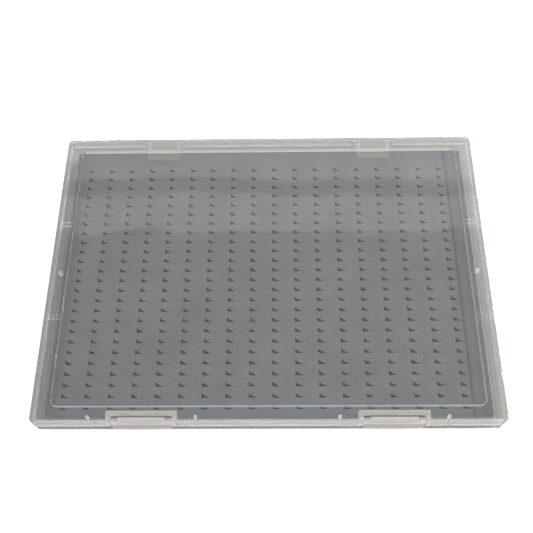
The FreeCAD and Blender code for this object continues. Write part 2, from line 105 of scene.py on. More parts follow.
PEG_FRONT_Y = 4.3 * MM - CASE_HALF_DEPTH
PEG_SIDE_X = CASE_HALF_WIDTH - 7.2 * MM
PEG_SIDE_Y = -2.5 * MM
LID_UNDERSIDE = 16.5 * MM
LATCH_FLAP_LOW = 13.5 * MM
LATCH_FLAP_FADE = 1.0 * MM
LEAF_BLOCK_FRONT = CASE_HALF_DEPTH - 10.2 * MM
LEAF_FADE = 0.3 * MM
SHARP_FADE = 0.1 * MM

# Share of milk at each face of the plastic
PANEL_MILK = 0.008
BORDER_MILK = 0.012
# Painted highlight: milk along the panel's step, with shares that make it weaker at the left and stronger
# at the right and back, as the light falls.
STEP_HIGHLIGHT_MILK = 0.35
STEP_HIGHLIGHT_LEFT_SHARE = 0.45
STEP_HIGHLIGHT_RIGHT_SHARE = 1.0
STEP_HIGHLIGHT_BACK_SHARE = 1.7
SKIRT_MILK = 0.11
POCKET_MILK = 0.32
PEG_MILK = 0.7
FLOOR_MILK = 0.25
WALL_MILK = 0.05
# Painted light: extra milk that makes the front skirt and front wall brighter, as the light falls on the
# front.
FRONT_PAINTED_LIGHT_MILK = 0.2
# Painted light: milk in the foot all round, growing towards the bottom, over the table's shade seen
# through it.
FOOT_PAINTED_LIGHT_MILK = 0.4
LATCH_MILK = 0.5
LATCH_LEG_MILK = 0.3
LEAF_MILK = 0.07
LEAF_BLOCK_MILK = 0.14
PIN_MILK = 0.25
PIN_MILK_SPREAD = 0.05
PIN_MOTTLE_SCALE = 60.0
PIN_MOTTLE_LOW = 0.3
PIN_MOTTLE_HIGH = 0.7

# Share of light that each face of the plastic lets through
PANEL_PASS = 0.95
STEP_PASS = 0.03
BORDER_PASS = 0.92
FLOOR_PASS = 0.9
WALL_PASS = 0.85
SMALL_PASS = 0.7
LEAF_PASS = 0.9

# Finish of the plastic: its tints, its gloss and the unevenness of its moulding
PLASTIC_TINT = (0.96, 0.97, 0.965, 1.0)
MILK_TINT = (0.82, 0.80, 0.77, 1.0)
PLASTIC_IOR = 1.49
PLASTIC_ROUGHNESS = 0.035
LEAF_ROUGHNESS = 0.12
RIPPLE_SCALE = 16.0
RIPPLE_PLACE = (0.8, 0.55, 0.0)
RIPPLE_FLATNESS = (1.0, 1.0, 0.0)
GRAIN_SCALE = 900.0
GRAIN_SHARE = 0.004
LID_RIPPLE = 0.25 * MM
TRAY_RIPPLE = 0.03 * MM
LEAF_RIPPLE = 0.03 * MM
SMALL_RIPPLE = 0.02 * MM

# Finish of the foam: its greys, its mottling and cells, and its tone where it is cut, lighter and bluer,
# set to how dark the notches look in their own shade, so partly painted light
FOAM_DARK = (0.090, 0.094, 0.099, 1.0)
FOAM_LIGHT = (0.112, 0.116, 0.121, 1.0)
# Tone of the foam below its top face, in the notches, the sides and the backing: a cut face, and partly
# painted light that sets how dark the notches look.
FOAM_CUT_PAINTED_LIGHT = (0.144, 0.154, 0.166, 1.0)
FOAM_CUT_PAINTED_LIGHT_START = PAD_HIGH.z - 0.1 * MM
FOAM_CUT_PAINTED_LIGHT_END = PAD_HIGH.z - 1.0 * MM
FOAM_MOTTLE_SCALE = 55.0
FOAM_MOTTLE_SHARE = 0.75
FOAM_CELL_SCALE = 2200.0
FOAM_TONE_LOW = 0.25
FOAM_TONE_HIGH = 0.75
FOAM_PIT_SCALE = 700.0
FOAM_PIT_SHARE = 1.5
FOAM_BUMP_STRENGTH = 0.5
FOAM_BUMP_HEIGHT = 0.03 * MM
FOAM_ROUGHNESS = 0.9
FOAM_GLOSS = 0.3

# Finish of the adhesive film
FILM_DARK = (0.30, 0.30, 0.29, 1.0)
FILM_LIGHT = (0.42, 0.42, 0.40, 1.0)
FILM_PATCH_SCALE = 90.0
FILM_PATCH_LOW = 0.35
FILM_PATCH_HIGH = 0.65
FILM_SMOOTHEST = 0.35
FILM_ROUGHEST = 0.55

# Notches in the foam: a right triangle with a slit running on from its tip
NOTCH_COLUMNS = 18
NOTCH_ROWS = 25
NOTCH_PITCH_X = 16.0 * MM
NOTCH_PITCH_Y = 8.0 * MM
NOTCH_SHIFT_Y = -5.7 * MM
NOTCH_BASE = 5.0 * MM
NOTCH_HEIGHT = 3.2 * MM
SLIT_LENGTH = 5.0 * MM
SLIT_WIDTH = 0.03 * MM
SLIT_RIM = 0.015 * MM
RIM_ROUNDING = 0.15 * MM
PAD_CORNER_RADIUS = 0.8 * MM
PAD_EDGE_ROUNDING = 0.4 * MM
ROUNDING_SHOULDER = 0.3
CORNER_STEPS = 8
CREASE_ANGLE = math.radians(40)
WELD_DISTANCE = 0.01 * MM

# Camera, as the photograph was taken
CAMERA_TARGET = Vector((-1.17, 4.5, 10.0)) * MM
CAMERA_DISTANCE = 577.41 * MM
CAMERA_AZIMUTH = math.radians(2.483)
CAMERA_ELEVATION = math.radians(62.589)
CAMERA_ROLL = math.radians(-2.583)
CAMERA_LENS = 52.97
CAMERA_CLIP = 10.0 * MM

# Table, surroundings, and the lights: name, place, target, width and height, radiance
TABLE_SIZE = 8.0
TABLE_DROP = 0.3 * MM
TABLE_PATCH_SCALE = 3.0
TABLE_DULLEST = 0.90
TABLE_WHITEST = 0.92
# Painted shade: grey of the table where it is seen through the plastic or mirrored in it.
TABLE_PAINTED_SHADE_GREY = (0.225, 0.22, 0.21, 1.0)
TABLE_GLOW = 0.2
TABLE_ROUGHNESS = 0.9
TABLE_GLOSS = 0.1
WHITE = (1.0, 1.0, 1.0, 1.0)
WORLD_STRENGTH = 0.7
STUDIO_LIGHTS = [
    ("overhead", (-0.1, -0.5, 1.3), (-0.1, 0.0, 0.0), (1.4, 0.8), 2.25),
    ("strip_right", (1.0, 0.5, 0.89), (0.0, 0.5, 0.0), (0.7, 0.12), 70.0),
    ("fill_front", (0.0, -1.3, 0.16), (0.0, 0.0, 0.0), (1.6, 0.25), 4.5),
    ("card_low", (0.0, 1.0, 1.0), (0.0, 0.0, 1.0), (2.2, 0.8), 0.66),
    ("card_high", (0.0, 1.0, 1.5875), (0.0, 0.0, 1.5875), (2.2, 0.205), 0.66),
    ("card_corner", (0.53, 0.98, 1.3), (0.53, 0.0, 1.3), (0.34, 0.22), 0.3),
]
TRANSPARENT_BOUNCES = 24
TRANSMISSION_BOUNCES = 16


def shader_tree(name):
    """New material with an empty node tree, and its output node."""
    material = bpy.data.materials.new(name)
    material.use_nodes = True
    tree = material.node_tree
    tree.nodes.clear()
    output = tree.nodes.new("ShaderNodeOutputMaterial")
    return material, tree, output


def add_node(tree, kind, inputs=None, **settings):
    """New node with its settings, and with values or links on its inputs."""
    made = tree.nodes.new(kind)
    for name, value in settings.items():
        setattr(made, name, value)
    for key, value in (inputs or {}).items():
        if isinstance(value, bpy.types.NodeSocket):
            tree.links.new(value, made.inputs[key])
        else:
            made.inputs[key].default_value = value
    return made


def maths(tree, operation, first, second=0.0):
    """Result of a Math node."""
    made = add_node(tree, "ShaderNodeMath", {0: first, 1: second}, operation=operation)
    return made.outputs[0]


def diagonal(tree, across, along):
    """Length of the diagonal of two distances."""
    squares = maths(tree, "ADD", maths(tree, "POWER", across, 2.0), maths(tree, "POWER", along, 2.0))
    return maths(tree, "SQRT", squares)


def ramped(tree, value, low, high, start=0.0, end=1.0):
    """Smooth step from start to end as a value goes from low to high."""
    inputs = {0: value, 1: low, 2: high, 3: start, 4: end}
    made = add_node(tree, "ShaderNodeMapRange", inputs, interpolation_type="SMOOTHSTEP")
    return made.outputs[0]


def blended(tree, share, first, second):
    """Colour between two others, by a share."""
    made = add_node(tree, "ShaderNodeMix", {0: share, 6: first, 7: second}, data_type="RGBA")
    return made.outputs[2]


def grey(tree, value):
    """Neutral colour of one value."""
    return add_node(tree, "ShaderNodeCombineColor", {0: value, 1: value, 2: value}).outputs[0]


def mixed(tree, share, first, second):
    """Mix of two shaders, with the second one's share."""
    return add_node(tree, "ShaderNodeMixShader", {0: share, 1: first, 2: second}).outputs[0]


def object_place(tree):
    """Object coordinates of a place on the piece."""
    return add_node(tree, "ShaderNodeTexCoord").outputs["Object"]


def axes(tree, place):
    """X, Y and Z of a place."""
    parts = add_node(tree, "ShaderNodeSeparateXYZ", {0: place})
    return parts.outputs[0], parts.outputs[1], parts.outputs[2]


def noise(tree, place, scale, detail=2.0):
    """Noise value at a place."""
    inputs = {"Vector": place, "Scale": scale, "Detail": detail}
    return add_node(tree, "ShaderNodeTexNoise", inputs).outputs[0]


def rounded_distance(tree, x, y, half_width, half_depth, radius):
    """How far a place lies outside a rounded rectangle about the origin, negative inside."""
    across = maths(tree, "SUBTRACT", maths(tree, "ABSOLUTE", x), half_width - radius)
    along = maths(tree, "SUBTRACT", maths(tree, "ABSOLUTE", y), half_depth - radius)
    beyond = diagonal(tree, maths(tree, "MAXIMUM", across, 0.0), maths(tree, "MAXIMUM", along, 0.0))
    inside = maths(tree, "MINIMUM", maths(tree, "MAXIMUM", across, along), 0.0)
    return maths(tree, "SUBTRACT", maths(tree, "ADD", beyond, inside), radius)


def clear_plastic(name, haze, shade, ripple, roughness=PLASTIC_ROUGHNESS, calm=None):
    """Clear moulded plastic. haze, shade and calm take the tree and give a share or a socket."""
    material, tree, output = shader_tree(name)
    place = object_place(tree)
    x, y, z = axes(tree, place)
    flat = add_node(tree, "ShaderNodeMapping", {
        "Vector": place,
        "Location": RIPPLE_PLACE,
        "Scale": RIPPLE_FLATNESS,
    }).outputs[0]
    waves = noise(tree, flat, RIPPLE_SCALE, detail=1.0)
    grain = noise(tree, place, GRAIN_SCALE)
    bump = add_node(tree, "ShaderNodeBump", {
        "Strength": calm(tree, x, y, z) if calm else 1.0,
        "Distance": ripple,
        "Height": maths(tree, "ADD", waves, maths(tree, "MULTIPLY", grain, GRAIN_SHARE)),
    })
    glass = add_node(tree, "ShaderNodeBsdfPrincipled", {
        "Base Color": PLASTIC_TINT,
        "Roughness": roughness,
        "IOR": PLASTIC_IOR,
        "Transmission Weight": 1.0,
        "Normal": bump.outputs[0],
    })
    milk_front = add_node(tree, "ShaderNodeBsdfDiffuse", {"Color": MILK_TINT})
    milk_back = add_node(tree, "ShaderNodeBsdfTranslucent", {"Color": MILK_TINT})
    milk = mixed(tree, 0.5, milk_front.outputs[0], milk_back.outputs[0])
    body = mixed(tree, haze(tree, x, y, z), glass.outputs[0], milk)
    veil = add_node(tree, "ShaderNodeBsdfTransparent", {"Color": shade(tree, x, y, z)}).outputs[0]
    path = add_node(tree, "ShaderNodeLightPath").outputs
    bounced = mixed(tree, path["Is Diffuse Ray"], body, veil)
    lit = mixed(tree, path["Is Shadow Ray"], bounced, veil)
    tree.links.new(lit, output.inputs["Surface"])
    return material


def panel_distance(tree, x, y):
    """How far a place lies outside the lid's recessed panel."""
    along = maths(tree, "SUBTRACT", y, PANEL_CENTRE_Y)
    return rounded_distance(tree, x, along, PANEL_HALF_WIDTH, PANEL_HALF_DEPTH, PANEL_CORNER_RADIUS)


def beside_panel(tree, x):
    """How far a place lies out to the side of the lid's recessed panel."""
    return maths(tree, "SUBTRACT", maths(tree, "ABSOLUTE", x), PANEL_HALF_WIDTH)


def wall_share(tree, x, y, zone, fade):
    """One inside the zone of the case's walls, fading to nothing further in."""
    edge = rounded_distance(tree, x, y, CASE_HALF_WIDTH, CASE_HALF_DEPTH, CASE_CORNER_RADIUS)
    return ramped(tree, edge, -zone - fade, -zone + fade)


def front_share(tree, y):
    """One in the case's front wall, nothing further back."""
    return ramped(tree, y, FRONT_WALL_INNER, FRONT_WALL_OUTER)


def pocket_share(tree, x, y):
    """One in the raised bars about the latches, nothing elsewhere."""
    beside = maths(tree, "ABSOLUTE", maths(tree, "SUBTRACT", maths(tree, "ABSOLUTE", x), LATCH_CENTRE_X))
    across = ramped(tree, beside, POCKET_HALF_WIDTH + SHARP_FADE, POCKET_HALF_WIDTH)
    along = ramped(tree, y, POCKET_BAR_BACK + SHARP_FADE, POCKET_BAR_BACK)
    inner_across = ramped(tree, beside, LATCH_SPACE_HALF_WIDTH, LATCH_SPACE_HALF_WIDTH - SHARP_FADE)
    inner_along = ramped(tree, y, LATCH_SPACE_BACK, LATCH_SPACE_BACK - SHARP_FADE)
    outer = maths(tree, "MULTIPLY", across, along)
    inner = maths(tree, "MULTIPLY", inner_across, inner_along)
    return maths(tree, "SUBTRACT", outer, inner)


def peg_share(tree, x, y, z):
    """One on the pegs under the lid's border, nothing elsewhere."""
    pegs = [(LATCH_CENTRE_X + step * PEG_FROM_LATCH, PEG_FRONT_Y, PEG_RADIUS) for step in (-1, 1)]
    pegs.append((PEG_SIDE_X, PEG_SIDE_Y, SIDE_PEG_RADIUS))
    nearest = CASE_HALF_WIDTH
    for peg_x, peg_y, radius in pegs:
        across = maths(tree, "SUBTRACT", maths(tree, "ABSOLUTE", x), peg_x)
        along = maths(tree, "SUBTRACT", y, peg_y)
        away = maths(tree, "SUBTRACT", diagonal(tree, across, along), radius)
        nearest = maths(tree, "MINIMUM", away, nearest)
    about = ramped(tree, nearest, 2 * SHARP_FADE, SHARP_FADE)
    below = ramped(tree, z, LID_UNDERSIDE, LID_UNDERSIDE - SHARP_FADE)
    return maths(tree, "MULTIPLY", about, below)


def step_painted_highlight(tree, x, y, edge):
    """Painted highlight along the panel's step, drawn as milk: least at the left, most at the back, as
    the light falls.
    """
    line = ramped(tree, maths(tree, "ABSOLUTE", edge), STEP_HIGHLIGHT_CORE, STEP_HIGHLIGHT_EDGE, STEP_HIGHLIGHT_MILK, 0.0)
    side_share = ramped(tree, x, -MIDDLE_BAND, MIDDLE_BAND, STEP_HIGHLIGHT_LEFT_SHARE, STEP_HIGHLIGHT_RIGHT_SHARE)
    share = ramped(tree, beside_panel(tree, x), SIDE_FADE_INNER, SIDE_FADE_OUTER, 1.0, side_share)
    behind = maths(tree, "SUBTRACT", y, PANEL_BACK_Y)
    back_share = ramped(tree, behind, BACK_FADE_INNER, BACK_FADE_OUTER, share, STEP_HIGHLIGHT_BACK_SHARE)
    return maths(tree, "MULTIPLY", line, back_share)


def lid_haze_and_painted_light(tree, x, y, z):
    """Milkiness of the lid: faint over the panel, more at the skirt, the pockets and pegs, with a painted
    highlight along its step and painted light in the front skirt.
    """
    edge = panel_distance(tree, x, y)
    plate = ramped(tree, edge, MILK_FADE_INNER, MILK_FADE_OUTER, PANEL_MILK, BORDER_MILK)
    # Painted highlight along the step.
    step = step_painted_highlight(tree, x, y, edge)
    # Milk of the skirt, with painted light in the front skirt.
    skirt_milk_and_front_light = ramped(tree, front_share(tree, y), 0.0, 1.0, SKIRT_MILK, FRONT_PAINTED_LIGHT_MILK)
    skirt = maths(tree, "MULTIPLY", wall_share(tree, x, y, SKIRT_ZONE, SKIRT_FADE), skirt_milk_and_front_light)
    pocket = maths(tree, "MULTIPLY", pocket_share(tree, x, y), POCKET_MILK)
    peg = maths(tree, "MULTIPLY", peg_share(tree, x, y, z), PEG_MILK)
    thick = maths(tree, "MAXIMUM", maths(tree, "MAXIMUM", skirt, pocket), peg)
    return maths(tree, "MAXIMUM", maths(tree, "MAXIMUM", plate, step), thick)


def lid_shade(tree, x, y, z):
    """Share of light that comes down through the lid, least along the panel's side steps."""
    edge = panel_distance(tree, x, y)
    plate = ramped(tree, edge, PASS_FADE_INNER, PASS_FADE_OUTER, PANEL_PASS, BORDER_PASS)
    beside = beside_panel(tree, x)
    inner = ramped(tree, beside, STEP_SHADE_INNER - SHARP_FADE, STEP_SHADE_INNER)
    outer = ramped(tree, beside, STEP_SHADE_OUTER + SHARP_FADE, STEP_SHADE_OUTER)
    upper = ramped(tree, z, LID_UNDERSIDE, LID_UNDERSIDE + SHARP_FADE)
    step = maths(tree, "MULTIPLY", upper, maths(tree, "MULTIPLY", inner, outer))
    return grey(tree, maths(tree, "MINIMUM", plate, ramped(tree, step, 0.0, 1.0, 1.0, STEP_PASS)))


def lid_calm(tree, x, y, z):
    """Strength of the moulding's unevenness: full over the panel, none at its edge and in the border."""
    return ramped(tree, panel_distance(tree, x, y), CALM_FADE_INNER, CALM_FADE_OUTER, 1.0, 0.0)


def tray_haze_and_painted_light(tree, x, y, z):
    """Milkiness of the tray: in its floor and its walls, with painted light in the front wall and in the
    foot all round, which grows lighter towards the bottom.
    """
    walls = wall_share(tree, x, y, TRAY_WALL_ZONE, TRAY_FADE)
    # Milk of the walls, with painted light in the front wall.
    front = ramped(tree, front_share(tree, y), 0.0, 1.0, WALL_MILK, FRONT_PAINTED_LIGHT_MILK)
    outer = wall_share(tree, x, y, TRAY_FOOT_ZONE, TRAY_FADE)
    # Painted light in the foot, lighter towards the bottom.
    foot = maths(tree, "MULTIPLY", outer, ramped(tree, z, TRAY_FOOT_HEIGHT, 0.0, 0.0, FOOT_PAINTED_LIGHT_MILK))
    return maths(tree, "MAXIMUM", foot, ramped(tree, walls, 0.0, 1.0, FLOOR_MILK, front))


def tray_shade(tree, x, y, z):
    """Share of light that comes through the tray, less in its walls."""
    walls = wall_share(tree, x, y, TRAY_WALL_ZONE, TRAY_FADE)
    return grey(tree, ramped(tree, walls, 0.0, 1.0, FLOOR_PASS, WALL_PASS))


def latch_haze(tree, x, y, z):
    """Milkiness of a latch: bright in its flap, less in the leg below."""
    return ramped(tree, z, LATCH_FLAP_LOW, LATCH_FLAP_LOW + LATCH_FLAP_FADE, LATCH_LEG_MILK, LATCH_MILK)


def leaf_haze(tree, x, y, z):
    """Milkiness of a hinge leaf, more in the block that carries its knuckle."""
    return ramped(tree, y, LEAF_BLOCK_FRONT, LEAF_BLOCK_FRONT + LEAF_FADE, LEAF_MILK, LEAF_BLOCK_MILK)


def pin_haze(tree, x, y, z):
    """Milkiness of a pin, almost even."""
    mottle = noise(tree, object_place(tree), PIN_MOTTLE_SCALE)
    spread = PIN_MILK * PIN_MILK_SPREAD
    return ramped(tree, mottle, PIN_MOTTLE_LOW, PIN_MOTTLE_HIGH, PIN_MILK - spread, PIN_MILK + spread)


def plain_shade(share):
    """Even share of light through a small moulding."""
    def shade(tree, x, y, z):
        return (share, share, share, 1.0)
    return shade


def grey_foam(name):
    """Matt closed-cell foam with fine cells and faint mottling."""
    material, tree, output = shader_tree(name)
    place = object_place(tree)
    z = axes(tree, place)[2]
    mottle = noise(tree, place, FOAM_MOTTLE_SCALE, detail=3.0)
    cells = add_node(tree, "ShaderNodeTexVoronoi", {"Vector": place, "Scale": FOAM_CELL_SCALE})
    cell_depth = cells.outputs["Distance"]
    mottle_tone = maths(tree, "MULTIPLY", mottle, FOAM_MOTTLE_SHARE)
    cell_tone = maths(tree, "MULTIPLY", cell_depth, 1 - FOAM_MOTTLE_SHARE)
    tone = ramped(tree, maths(tree, "ADD", mottle_tone, cell_tone), FOAM_TONE_LOW, FOAM_TONE_HIGH)
    colour = blended(tree, tone, FOAM_DARK, FOAM_LIGHT)
    pits = noise(tree, place, FOAM_PIT_SCALE, detail=3.0)
    bump = add_node(tree, "ShaderNodeBump", {
        "Strength": FOAM_BUMP_STRENGTH,
        "Distance": FOAM_BUMP_HEIGHT,
        "Height": maths(tree, "ADD", cell_depth, maths(tree, "MULTIPLY", pits, FOAM_PIT_SHARE)),
    })
    foam = add_node(tree, "ShaderNodeBsdfPrincipled", {
        # Below its top face the foam takes the cut tone, partly painted light in the notches.
        "Base Color": blended(tree, ramped(tree, z, FOAM_CUT_PAINTED_LIGHT_START, FOAM_CUT_PAINTED_LIGHT_END), colour, FOAM_CUT_PAINTED_LIGHT),
        "Roughness": FOAM_ROUGHNESS,
        "Specular IOR Level": FOAM_GLOSS,
        "Normal": bump.outputs[0],
    })
    tree.links.new(foam.outputs[0], output.inputs["Surface"])
    return material


def bonding_film(name):
    """Milky adhesive film with a faint mottle from its bonding."""
    material, tree, output = shader_tree(name)
    mottle = noise(tree, object_place(tree), FILM_PATCH_SCALE, detail=4.0)
    patches = ramped(tree, mottle, FILM_PATCH_LOW, FILM_PATCH_HIGH)
    film = add_node(tree, "ShaderNodeBsdfPrincipled", {
        "Base Color": blended(tree, patches, FILM_DARK, FILM_LIGHT),
        "Roughness": ramped(tree, patches, 0.0, 1.0, FILM_SMOOTHEST, FILM_ROUGHEST),
    })
    tree.links.new(film.outputs[0], output.inputs["Surface"])
    return material


def pale_table(name):
    """Plain white table, with painted shade: grey where it is seen through the plastic or mirrored in it,
    for the table's shade under and about the case.
    """
    material, tree, output = shader_tree(name)
    patches = noise(tree, object_place(tree), TABLE_PATCH_SCALE)
    white = add_node(tree, "ShaderNodeBsdfPrincipled", {
        "Base Color": grey(tree, ramped(tree, patches, 0.0, 1.0, TABLE_DULLEST, TABLE_WHITEST)),
        "Roughness": TABLE_ROUGHNESS,
        "Specular IOR Level": TABLE_GLOSS,
        "Emission Color": WHITE,
        "Emission Strength": TABLE_GLOW,
    }).outputs[0]
    # Painted shade, seen through the plastic and in its reflections.
    painted_shade = add_node(tree, "ShaderNodeBsdfDiffuse", {"Color": TABLE_PAINTED_SHADE_GREY}).outputs[0]
    path = add_node(tree, "ShaderNodeLightPath").outputs
    seen = mixed(tree, path["Is Transmission Ray"], white, painted_shade)
    table = mixed(tree, path["Is Glossy Ray"], seen, painted_shade)
    tree.links.new(table, output.inputs["Surface"])
    return material


def new_object(name, mesh, material):
    """Object at the origin with one material."""
    made = bpy.data.objects.new(name, mesh)
    bpy.context.scene.collection.objects.link(made)
    made.data.materials.clear()
    made.data.materials.append(material)
    return made


def notch_outline(grown):
    """Outline of one notch and its slit about the cell's middle, grown outwards by a rim."""
    reach = NOTCH_BASE + SLIT_LENGTH
    left = -reach / 2
    low = -NOTCH_HEIGHT / 3
    tip = left + NOTCH_BASE
    slope = math.hypot(NOTCH_BASE, NOTCH_HEIGHT) / NOTCH_BASE
    fine = SLIT_RIM * grown / RIM_ROUNDING
    slit_top = low + SLIT_WIDTH + fine
    steepness = NOTCH_BASE / NOTCH_HEIGHT
    meet = tip + (low + grown * slope - slit_top) * steepness
    return [
        (left - grown, low - grown),
        (tip - NOTCH_HEIGHT / 2, low - grown),
        (tip, low - fine),
        (left + reach + fine, low - fine),
        (left + reach + fine, slit_top),
        (meet, slit_top),
        (left - grown, low + NOTCH_HEIGHT + grown * (slope + 1 / steepness)),
    ]


def ring_of(bm, points, z):
    """Closed ring of vertices at one height."""
    return [bm.verts.new((x, y, z)) for x, y in points]


def bridge(bm, lower, upper):
    """Quads between two rings with the same count of vertices."""
    count = len(lower)
    for i in range(count):
        after = (i + 1) % count
        bm.faces.new((lower[i], lower[after], upper[after], upper[i]))


def fill_between(bm, *rings):
    """Flat triangles between an outer ring and the rings inside it."""
    edges = []
    for ring in rings:
        for i in range(len(ring)):
            pair = (ring[i], ring[(i + 1) % len(ring)])
            edges.append(bm.edges.get(pair) or bm.edges.new(pair))
    bmesh.ops.triangle_fill(bm, use_beauty=True, edges=edges)


def notch_cell():
    """One cell of the foam sheet: top, bottom, and the walls of its notch and slit."""
    bm = bmesh.new()
    half_x = NOTCH_PITCH_X / 2
    half_y = NOTCH_PITCH_Y / 2
    corners = [(-half_x, -half_y), (half_x, -half_y), (half_x, half_y), (-half_x, half_y)]
    top = PAD_HIGH.z
    bottom = PAD_LOW.z
    shoulder = ROUNDING_SHOULDER * RIM_ROUNDING
    rim = [
        ring_of(bm, notch_outline(RIM_ROUNDING), top),
        ring_of(bm, notch_outline(shoulder), top - shoulder),
        ring_of(bm, notch_outline(0.0), top - RIM_ROUNDING),
        ring_of(bm, notch_outline(0.0), bottom),
    ]
    for upper, lower in zip(rim, rim[1:]):
        bridge(bm, lower, upper)
    fill_between(bm, ring_of(bm, corners, top), rim[0])
    fill_between(bm, ring_of(bm, corners, bottom), rim[-1])
    bmesh.ops.recalc_face_normals(bm, faces=bm.faces)
    mesh = bpy.data.meshes.new("notch_cell")
    bm.to_mesh(mesh)
    bm.free()
    return mesh


def socket_of(tree, name, kind, is_output=False):
    """New socket on a node group's interface."""
    side = "OUTPUT" if is_output else "INPUT"
    tree.interface.new_socket(name=name, in_out=side, socket_type=kind)


def notch_rows_tree():
    """Node group that lays its own mesh out in rows and columns."""
    tree = bpy.data.node_groups.new("notch_rows", "GeometryNodeTree")
    socket_of(tree, "Cell", "NodeSocketGeometry")
    socket_of(tree, "Columns", "NodeSocketInt")
    socket_of(tree, "Rows", "NodeSocketInt")
    socket_of(tree, "Pitch across", "NodeSocketFloat")
    socket_of(tree, "Pitch along", "NodeSocketFloat")
    socket_of(tree, "Middle", "NodeSocketVector")
    socket_of(tree, "Weld", "NodeSocketFloat")
    socket_of(tree, "Finish", "NodeSocketMaterial")
    socket_of(tree, "Sheet", "NodeSocketGeometry", is_output=True)
    given = tree.nodes.new("NodeGroupInput").outputs
    result = tree.nodes.new("NodeGroupOutput")
    width = maths(tree, "MULTIPLY", maths(tree, "SUBTRACT", given["Columns"], 1.0), given["Pitch across"])
    depth = maths(tree, "MULTIPLY", maths(tree, "SUBTRACT", given["Rows"], 1.0), given["Pitch along"])
    points = add_node(tree, "GeometryNodeMeshGrid", {
        "Size X": width,
        "Size Y": depth,
        "Vertices X": given["Columns"],
        "Vertices Y": given["Rows"],
    })
    placed = add_node(tree, "GeometryNodeTransform", {
        "Geometry": points.outputs["Mesh"],
        "Translation": given["Middle"],
    })
    copies = add_node(tree, "GeometryNodeInstanceOnPoints", {
        "Points": placed.outputs[0],
        "Instance": given["Cell"],
    })
    real = add_node(tree, "GeometryNodeRealizeInstances", {"Geometry": copies.outputs[0]})
    welded = add_node(tree, "GeometryNodeMergeByDistance", {
        "Geometry": real.outputs[0],
        "Distance": given["Weld"],
    })
    finished = add_node(tree, "GeometryNodeSetMaterial", {
        "Geometry": welded.outputs[0],
        "Material": given["Finish"],
    })
    tree.links.new(finished.outputs[0], result.inputs["Sheet"])
    return tree


def notched_field(material, middle):
    """Mesh of all notch cells, made by the node group."""
    holder = new_object("notch_field", notch_cell(), material)
    tree = notch_rows_tree()
    rows = holder.modifiers.new("rows", "NODES")
    rows.node_group = tree
    values = {
        "Columns": NOTCH_COLUMNS,
        "Rows": NOTCH_ROWS,
        "Pitch across": NOTCH_PITCH_X,
        "Pitch along": NOTCH_PITCH_Y,
        "Middle": middle,
        "Weld": WELD_DISTANCE,
        "Finish": material,
    }
    for item in tree.interface.items_tree:
        if item.in_out == "INPUT" and item.name in values:
            rows[item.identifier] = values[item.name]
    graph = bpy.context.evaluated_depsgraph_get()
    mesh = bpy.data.meshes.new_from_object(holder.evaluated_get(graph))
    bpy.data.objects.remove(holder)
    return mesh


def rounded_outline(low, high, radius, inset):
    """Outline of a rounded rectangle, drawn in by an inset."""
    points = []
    reach = radius - inset
    middles = [
        (high.x - radius, high.y - radius),
        (low.x + radius, high.y - radius),
        (low.x + radius, low.y + radius),
        (high.x - radius, low.y + radius),
    ]
    for quarter, (x, y) in enumerate(middles):
        for step in range(CORNER_STEPS + 1):
            angle = math.pi / 2 * (quarter + step / CORNER_STEPS)
            points.append((x + reach * math.cos(angle), y + reach * math.sin(angle)))
    return points


def slab_rings(bm, low, high):
    """Rings down the side of a foam sheet with softly rounded top and bottom edges."""
    rounding = PAD_EDGE_ROUNDING
    shoulder = ROUNDING_SHOULDER * rounding
    profile = [
        (rounding, high.z),
        (shoulder, high.z - shoulder),
        (0.0, high.z - rounding),
        (0.0, low.z + rounding),
        (shoulder, low.z + shoulder),
        (rounding, low.z),
    ]
    rings = [ring_of(bm, rounded_outline(low, high, PAD_CORNER_RADIUS, inset), z) for inset, z in profile]
    for upper, lower in zip(rings, rings[1:]):
        bridge(bm, lower, upper)
    return rings


def field_border(middle):
    """Outline of the notched field, with a point at each cell's corner."""
    left = middle.x - NOTCH_COLUMNS * NOTCH_PITCH_X / 2
    low = middle.y - NOTCH_ROWS * NOTCH_PITCH_Y / 2
    right = left + NOTCH_COLUMNS * NOTCH_PITCH_X
    high = low + NOTCH_ROWS * NOTCH_PITCH_Y
    front_edge = [(left + i * NOTCH_PITCH_X, low) for i in range(NOTCH_COLUMNS)]
    right_edge = [(right, low + i * NOTCH_PITCH_Y) for i in range(NOTCH_ROWS)]
    back_edge = [(right - i * NOTCH_PITCH_X, high) for i in range(NOTCH_COLUMNS)]
    left_edge = [(left, high - i * NOTCH_PITCH_Y) for i in range(NOTCH_ROWS)]
    return front_edge + right_edge + back_edge + left_edge


def finish_foam(name, bm, material, node):
    """Foam piece that stands for its plain solid and rides on the tray."""
    bmesh.ops.remove_doubles(bm, verts=bm.verts, dist=WELD_DISTANCE)
    bmesh.ops.recalc_face_normals(bm, faces=bm.faces)
    mesh = bpy.data.meshes.new(name)
    bm.to_mesh(mesh)
    bm.free()
    for face in mesh.polygons:
        face.use_smooth = True
    mesh.set_sharp_from_angle(angle=CREASE_ANGLE)
    piece = new_object(name, mesh, material)
    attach(piece, "tray")
    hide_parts(node)


def slit_sheet(material):
    """Upper foam sheet: the notched field, its plain border and rounded edge."""
    middle = Vector(((PAD_LOW.x + PAD_HIGH.x) / 2, (PAD_LOW.y + PAD_HIGH.y) / 2 + NOTCH_SHIFT_Y, 0.0))
    bm = bmesh.new()
    bm.from_mesh(notched_field(material, middle))
    rings = slab_rings(bm, PAD_LOW, PAD_HIGH)
    border = field_border(middle)
    fill_between(bm, rings[0], ring_of(bm, border, PAD_HIGH.z))
    fill_between(bm, rings[-1], ring_of(bm, border, PAD_LOW.z))
    finish_foam("slit_foam_sheet", bm, material, "foam_slit_sheet")


